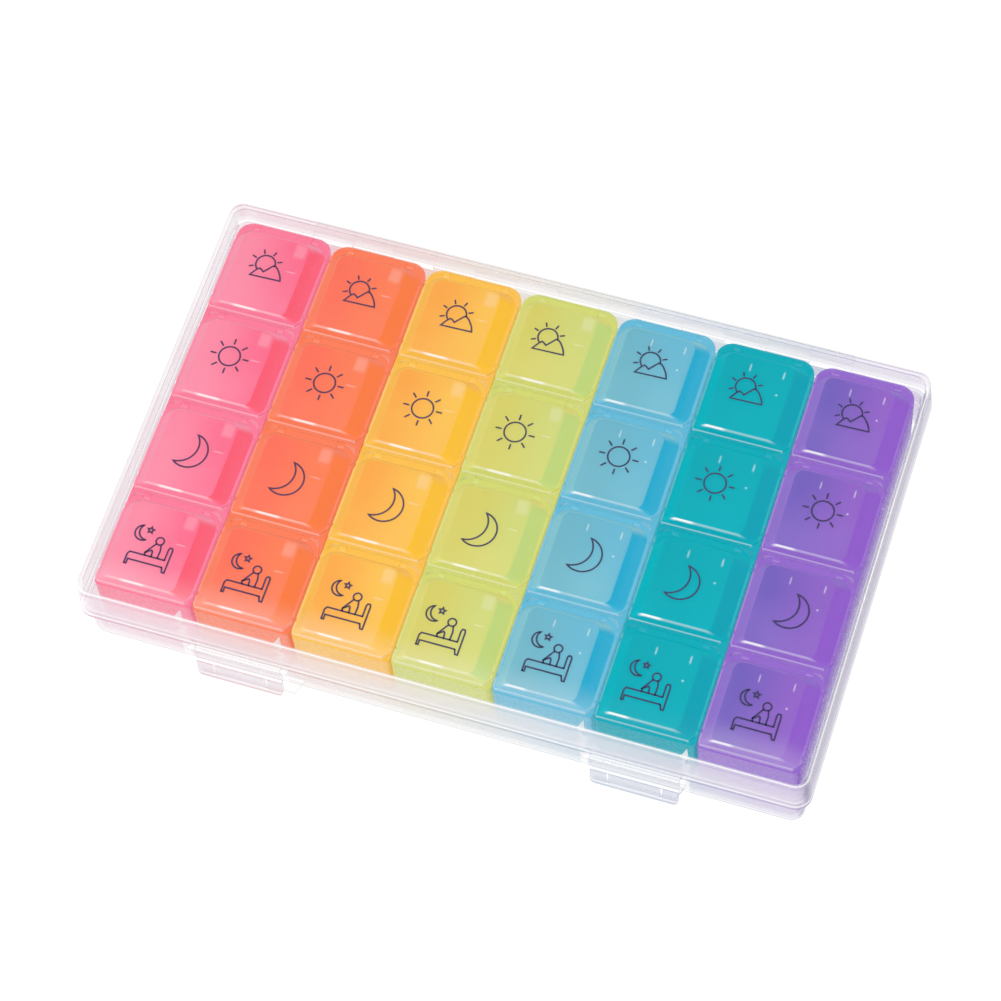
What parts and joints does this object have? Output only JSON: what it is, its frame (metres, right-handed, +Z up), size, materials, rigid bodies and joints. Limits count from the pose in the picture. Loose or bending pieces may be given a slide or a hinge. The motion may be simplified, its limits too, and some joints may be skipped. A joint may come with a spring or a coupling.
{
  "type": "weekly pill organiser",
  "caption": "Clear hinged case with snap latches, holding lift-out coloured strips of pill compartments, each compartment closed by its own flip lid.",
  "frame": {"origin": "middle of the outline, on the surface that the case stands on", "axes": "+X along the front from the first strip to the last, +Y from the latches to the hinge, +Z up"},
  "size_m": [0.2184, 0.1452, 0.028],
  "materials": {
    "case_clear": "clear moulded polypropylene with a faint frost",
    "plastic_pink": "glossy translucent polypropylene, tinted pink",
    "plastic_orange": "glossy translucent polypropylene, tinted orange",
    "plastic_amber": "glossy translucent polypropylene, tinted amber",
    "plastic_lime": "glossy translucent polypropylene, tinted lime",
    "plastic_blue": "glossy translucent polypropylene, tinted blue",
    "plastic_teal": "glossy translucent polypropylene, tinted teal",
    "plastic_purple": "glossy translucent polypropylene, tinted purple"
  },
  "bodies": {
    "case_base": {"case_base": "case_clear", "case_hinge_pin": "case_clear"},
    "case_lid": {"case_lid": "case_clear"},
    "latch_left": {"latch_left": "case_clear"},
    "latch_right": {"latch_right": "case_clear"},
    "strip_pink": {"strip_pink": "plastic_pink"},
    "lid_pink_morning": {"lid_pink_morning": "plastic_pink"},
    "lid_pink_noon": {"lid_pink_noon": "plastic_pink"},
    "lid_pink_evening": {"lid_pink_evening": "plastic_pink"},
    "lid_pink_bedtime": {"lid_pink_bedtime": "plastic_pink"},
    "strip_orange": {"strip_orange": "plastic_orange"},
    "lid_orange_morning": {"lid_orange_morning": "plastic_orange"},
    "lid_orange_noon": {"lid_orange_noon": "plastic_orange"},
    "lid_orange_evening": {"lid_orange_evening": "plastic_orange"},
    "lid_orange_bedtime": {"lid_orange_bedtime": "plastic_orange"},
    "strip_amber": {"strip_amber": "plastic_amber"},
    "lid_amber_morning": {"lid_amber_morning": "plastic_amber"},
    "lid_amber_noon": {"lid_amber_noon": "plastic_amber"},
    "lid_amber_evening": {"lid_amber_evening": "plastic_amber"},
    "lid_amber_bedtime": {"lid_amber_bedtime": "plastic_amber"},
    "strip_lime": {"strip_lime": "plastic_lime"},
    "lid_lime_morning": {"lid_lime_morning": "plastic_lime"},
    "lid_lime_noon": {"lid_lime_noon": "plastic_lime"},
    "lid_lime_evening": {"lid_lime_evening": "plastic_lime"},
    "lid_lime_bedtime": {"lid_lime_bedtime": "plastic_lime"},
    "strip_blue": {"strip_blue": "plastic_blue"},
    "lid_blue_morning": {"lid_blue_morning": "plastic_blue"},
    "lid_blue_noon": {"lid_blue_noon": "plastic_blue"},
    "lid_blue_evening": {"lid_blue_evening": "plastic_blue"},
    "lid_blue_bedtime": {"lid_blue_bedtime": "plastic_blue"},
    "strip_teal": {"strip_teal": "plastic_teal"},
    "lid_teal_morning": {"lid_teal_morning": "plastic_teal"},
    "lid_teal_noon": {"lid_teal_noon": "plastic_teal"},
    "lid_teal_evening": {"lid_teal_evening": "plastic_teal"},
    "lid_teal_bedtime": {"lid_teal_bedtime": "plastic_teal"},
    "strip_purple": {"strip_purple": "plastic_purple"},
    "lid_purple_morning": {"lid_purple_morning": "plastic_purple"},
    "lid_purple_noon": {"lid_purple_noon": "plastic_purple"},
    "lid_purple_evening": {"lid_purple_evening": "plastic_purple"},
    "lid_purple_bedtime": {"lid_purple_bedtime": "plastic_purple"}
  },
  "joints": [
    {"name": "case_lid_hinge", "type": "hinge", "parent": "case_base", "child": "case_lid", "pos_m": [0, 0.0709, 0.019], "axis": [-1, 0, 0], "range_deg": [0, 180]},
    {"name": "latch_left_hinge", "type": "hinge", "parent": "case_lid", "child": "latch_left", "pos_m": [-0.0584, -0.0704, 0.0164], "axis": [-1, 0, 0], "range_deg": [0, 100]},
    {"name": "latch_right_hinge", "type": "hinge", "parent": "case_lid", "child": "latch_right", "pos_m": [0.0597, -0.0704, 0.0164], "axis": [-1, 0, 0], "range_deg": [0, 100]},
    {"name": "strip_pink_lift", "type": "slide", "parent": "case_base", "child": "strip_pink", "axis": [0, 0, 1], "range_m": [0, 0.015]},
    {"name": "lid_pink_morning_hinge", "type": "hinge", "parent": "strip_pink", "child": "lid_pink_morning", "pos_m": [-0.0902, 0.0634, 0.0226], "axis": [-1, 0, 0], "range_deg": [0, 100]},
    {"name": "lid_pink_noon_hinge", "type": "hinge", "parent": "strip_pink", "child": "lid_pink_noon", "pos_m": [-0.0902, 0.0318, 0.0226], "axis": [-1, 0, 0], "range_deg": [0, 100]},
    {"name": "lid_pink_evening_hinge", "type": "hinge", "parent": "strip_pink", "child": "lid_pink_evening", "pos_m": [-0.0902, 0.0002, 0.0226], "axis": [-1, 0, 0], "range_deg": [0, 100]},
    {"name": "lid_pink_bedtime_hinge", "type": "hinge", "parent": "strip_pink", "child": "lid_pink_bedtime", "pos_m": [-0.0902, -0.0314, 0.0226], "axis": [-1, 0, 0], "range_deg": [0, 100]},
    {"name": "strip_orange_lift", "type": "slide", "parent": "case_base", "child": "strip_orange", "axis": [0, 0, 1], "range_m": [0, 0.015]},
    {"name": "lid_orange_morning_hinge", "type": "hinge", "parent": "strip_orange", "child": "lid_orange_morning", "pos_m": [-0.0602, 0.0634, 0.0226], "axis": [-1, 0, 0], "range_deg": [0, 100]},
    {"name": "lid_orange_noon_hinge", "type": "hinge", "parent": "strip_orange", "child": "lid_orange_noon", "pos_m": [-0.0602, 0.0318, 0.0226], "axis": [-1, 0, 0], "range_deg": [0, 100]},
    {"name": "lid_orange_evening_hinge", "type": "hinge", "parent": "strip_orange", "child": "lid_orange_evening", "pos_m": [-0.0602, 0.0002, 0.0226], "axis": [-1, 0, 0], "range_deg": [0, 100]},
    {"name": "lid_orange_bedtime_hinge", "type": "hinge", "parent": "strip_orange", "child": "lid_orange_bedtime", "pos_m": [-0.0602, -0.0314, 0.0226], "axis": [-1, 0, 0], "range_deg": [0, 100]},
    {"name": "strip_amber_lift", "type": "slide", "parent": "case_base", "child": "strip_amber", "axis": [0, 0, 1], "range_m": [0, 0.015]},
    {"name": "lid_amber_morning_hinge", "type": "hinge", "parent": "strip_amber", "child": "lid_amber_morning", "pos_m": [-0.0302, 0.0634, 0.0226], "axis": [-1, 0, 0], "range_deg": [0, 100]},
    {"name": "lid_amber_noon_hinge", "type": "hinge", "parent": "strip_amber", "child": "lid_amber_noon", "pos_m": [-0.0302, 0.0318, 0.0226], "axis": [-1, 0, 0], "range_deg": [0, 100]},
    {"name": "lid_amber_evening_hinge", "type": "hinge", "parent": "strip_amber", "child": "lid_amber_evening", "pos_m": [-0.0302, 0.0002, 0.0226], "axis": [-1, 0, 0], "range_deg": [0, 100]},
    {"name": "lid_amber_bedtime_hinge", "type": "hinge", "parent": "strip_amber", "child": "lid_amber_bedtime", "pos_m": [-0.0302, -0.0314, 0.0226], "axis": [-1, 0, 0], "range_deg": [0, 100]},
    {"name": "strip_lime_lift", "type": "slide", "parent": "case_base", "child": "strip_lime", "axis": [0, 0, 1], "range_m": [0, 0.015]},
    {"name": "lid_lime_morning_hinge", "type": "hinge", "parent": "strip_lime", "child": "lid_lime_morning", "pos_m": [-0.0002, 0.0634, 0.0226], "axis": [-1, 0, 0], "range_deg": [0, 100]},
    {"name": "lid_lime_noon_hinge", "type": "hinge", "parent": "strip_lime", "child": "lid_lime_noon", "pos_m": [-0.0002, 0.0318, 0.0226], "axis": [-1, 0, 0], "range_deg": [0, 100]},
    {"name": "lid_lime_evening_hinge", "type": "hinge", "parent": "strip_lime", "child": "lid_lime_evening", "pos_m": [-0.0002, 0.0002, 0.0226], "axis": [-1, 0, 0], "range_deg": [0, 100]},
    {"name": "lid_lime_bedtime_hinge", "type": "hinge", "parent": "strip_lime", "child": "lid_lime_bedtime", "pos_m": [-0.0002, -0.0314, 0.0226], "axis": [-1, 0, 0], "range_deg": [0, 100]},
    {"name": "strip_blue_lift", "type": "slide", "parent": "case_base", "child": "strip_blue", "axis": [0, 0, 1], "range_m": [0, 0.015]},
    {"name": "lid_blue_morning_hinge", "type": "hinge", "parent": "strip_blue", "child": "lid_blue_morning", "pos_m": [0.0298, 0.0634, 0.0226], "axis": [-1, 0, 0], "range_deg": [0, 100]},
    {"name": "lid_blue_noon_hinge", "type": "hinge", "parent": "strip_blue", "child": "lid_blue_noon", "pos_m": [0.0298, 0.0318, 0.0226], "axis": [-1, 0, 0], "range_deg": [0, 100]},
    {"name": "lid_blue_evening_hinge", "type": "hinge", "parent": "strip_blue", "child": "lid_blue_evening", "pos_m": [0.0298, 0.0002, 0.0226], "axis": [-1, 0, 0], "range_deg": [0, 100]},
    {"name": "lid_blue_bedtime_hinge", "type": "hinge", "parent": "strip_blue", "child": "lid_blue_bedtime", "pos_m": [0.0298, -0.0314, 0.0226], "axis": [-1, 0, 0], "range_deg": [0, 100]},
    {"name": "strip_teal_lift", "type": "slide", "parent": "case_base", "child": "strip_teal", "axis": [0, 0, 1], "range_m": [0, 0.015]},
    {"name": "lid_teal_morning_hinge", "type": "hinge", "parent": "strip_teal", "child": "lid_teal_morning", "pos_m": [0.0598, 0.0634, 0.0226], "axis": [-1, 0, 0], "range_deg": [0, 100]},
    {"name": "lid_teal_noon_hinge", "type": "hinge", "parent": "strip_teal", "child": "lid_teal_noon", "pos_m": [0.0598, 0.0318, 0.0226], "axis": [-1, 0, 0], "range_deg": [0, 100]},
    {"name": "lid_teal_evening_hinge", "type": "hinge", "parent": "strip_teal", "child": "lid_teal_evening", "pos_m": [0.0598, 0.0002, 0.0226], "axis": [-1, 0, 0], "range_deg": [0, 100]},
    {"name": "lid_teal_bedtime_hinge", "type": "hinge", "parent": "strip_teal", "child": "lid_teal_bedtime", "pos_m": [0.0598, -0.0314, 0.0226], "axis": [-1, 0, 0], "range_deg": [0, 100]},
    {"name": "strip_purple_lift", "type": "slide", "parent": "case_base", "child": "strip_purple", "axis": [0, 0, 1], "range_m": [0, 0.015]},
    {"name": "lid_purple_morning_hinge", "type": "hinge", "parent": "strip_purple", "child": "lid_purple_morning", "pos_m": [0.0898, 0.0634, 0.0226], "axis": [-1, 0, 0], "range_deg": [0, 100]},
    {"name": "lid_purple_noon_hinge", "type": "hinge", "parent": "strip_purple", "child": "lid_purple_noon", "pos_m": [0.0898, 0.0318, 0.0226], "axis": [-1, 0, 0], "range_deg": [0, 100]},
    {"name": "lid_purple_evening_hinge", "type": "hinge", "parent": "strip_purple", "child": "lid_purple_evening", "pos_m": [0.0898, 0.0002, 0.0226], "axis": [-1, 0, 0], "range_deg": [0, 100]},
    {"name": "lid_purple_bedtime_hinge", "type": "hinge", "parent": "strip_purple", "child": "lid_purple_bedtime", "pos_m": [0.0898, -0.0314, 0.0226], "axis": [-1, 0, 0], "range_deg": [0, 100]}
  ],
  "couplings": [
    {"joint": "strip_pink_lift", "follows": "case_lid_hinge", "m_per_rad": 0.00477},
    {"joint": "lid_pink_morning_hinge", "follows": "case_lid_hinge", "ratio": 0.5555},
    {"joint": "lid_pink_noon_hinge", "follows": "case_lid_hinge", "ratio": 0.5555},
    {"joint": "lid_pink_evening_hinge", "follows": "case_lid_hinge", "ratio": 0.5555},
    {"joint": "lid_pink_bedtime_hinge", "follows": "case_lid_hinge", "ratio": 0.5555},
    {"joint": "strip_orange_lift", "follows": "case_lid_hinge", "m_per_rad": 0.00477},
    {"joint": "lid_orange_morning_hinge", "follows": "case_lid_hinge", "ratio": 0.5555},
    {"joint": "lid_orange_noon_hinge", "follows": "case_lid_hinge", "ratio": 0.5555},
    {"joint": "lid_orange_evening_hinge", "follows": "case_lid_hinge", "ratio": 0.5555},
    {"joint": "lid_orange_bedtime_hinge", "follows": "case_lid_hinge", "ratio": 0.5555},
    {"joint": "strip_amber_lift", "follows": "case_lid_hinge", "m_per_rad": 0.00477},
    {"joint": "lid_amber_morning_hinge", "follows": "case_lid_hinge", "ratio": 0.5555},
    {"joint": "lid_amber_noon_hinge", "follows": "case_lid_hinge", "ratio": 0.5555},
    {"joint": "lid_amber_evening_hinge", "follows": "case_lid_hinge", "ratio": 0.5555},
    {"joint": "lid_amber_bedtime_hinge", "follows": "case_lid_hinge", "ratio": 0.5555},
    {"joint": "strip_lime_lift", "follows": "case_lid_hinge", "m_per_rad": 0.00477},
    {"joint": "lid_lime_morning_hinge", "follows": "case_lid_hinge", "ratio": 0.5555},
    {"joint": "lid_lime_noon_hinge", "follows": "case_lid_hinge", "ratio": 0.5555},
    {"joint": "lid_lime_evening_hinge", "follows": "case_lid_hinge", "ratio": 0.5555},
    {"joint": "lid_lime_bedtime_hinge", "follows": "case_lid_hinge", "ratio": 0.5555},
    {"joint": "strip_blue_lift", "follows": "case_lid_hinge", "m_per_rad": 0.00477},
    {"joint": "lid_blue_morning_hinge", "follows": "case_lid_hinge", "ratio": 0.5555},
    {"joint": "lid_blue_noon_hinge", "follows": "case_lid_hinge", "ratio": 0.5555},
    {"joint": "lid_blue_evening_hinge", "follows": "case_lid_hinge", "ratio": 0.5555},
    {"joint": "lid_blue_bedtime_hinge", "follows": "case_lid_hinge", "ratio": 0.5555},
    {"joint": "strip_teal_lift", "follows": "case_lid_hinge", "m_per_rad": 0.00477},
    {"joint": "lid_teal_morning_hinge", "follows": "case_lid_hinge", "ratio": 0.5555},
    {"joint": "lid_teal_noon_hinge", "follows": "case_lid_hinge", "ratio": 0.5555},
    {"joint": "lid_teal_evening_hinge", "follows": "case_lid_hinge", "ratio": 0.5555},
    {"joint": "lid_teal_bedtime_hinge", "follows": "case_lid_hinge", "ratio": 0.5555},
    {"joint": "strip_purple_lift", "follows": "case_lid_hinge", "m_per_rad": 0.00477},
    {"joint": "lid_purple_morning_hinge", "follows": "case_lid_hinge", "ratio": 0.5555},
    {"joint": "lid_purple_noon_hinge", "follows": "case_lid_hinge", "ratio": 0.5555},
    {"joint": "lid_purple_evening_hinge", "follows": "case_lid_hinge", "ratio": 0.5555},
    {"joint": "lid_purple_bedtime_hinge", "follows": "case_lid_hinge", "ratio": 0.5555}
  ]
}
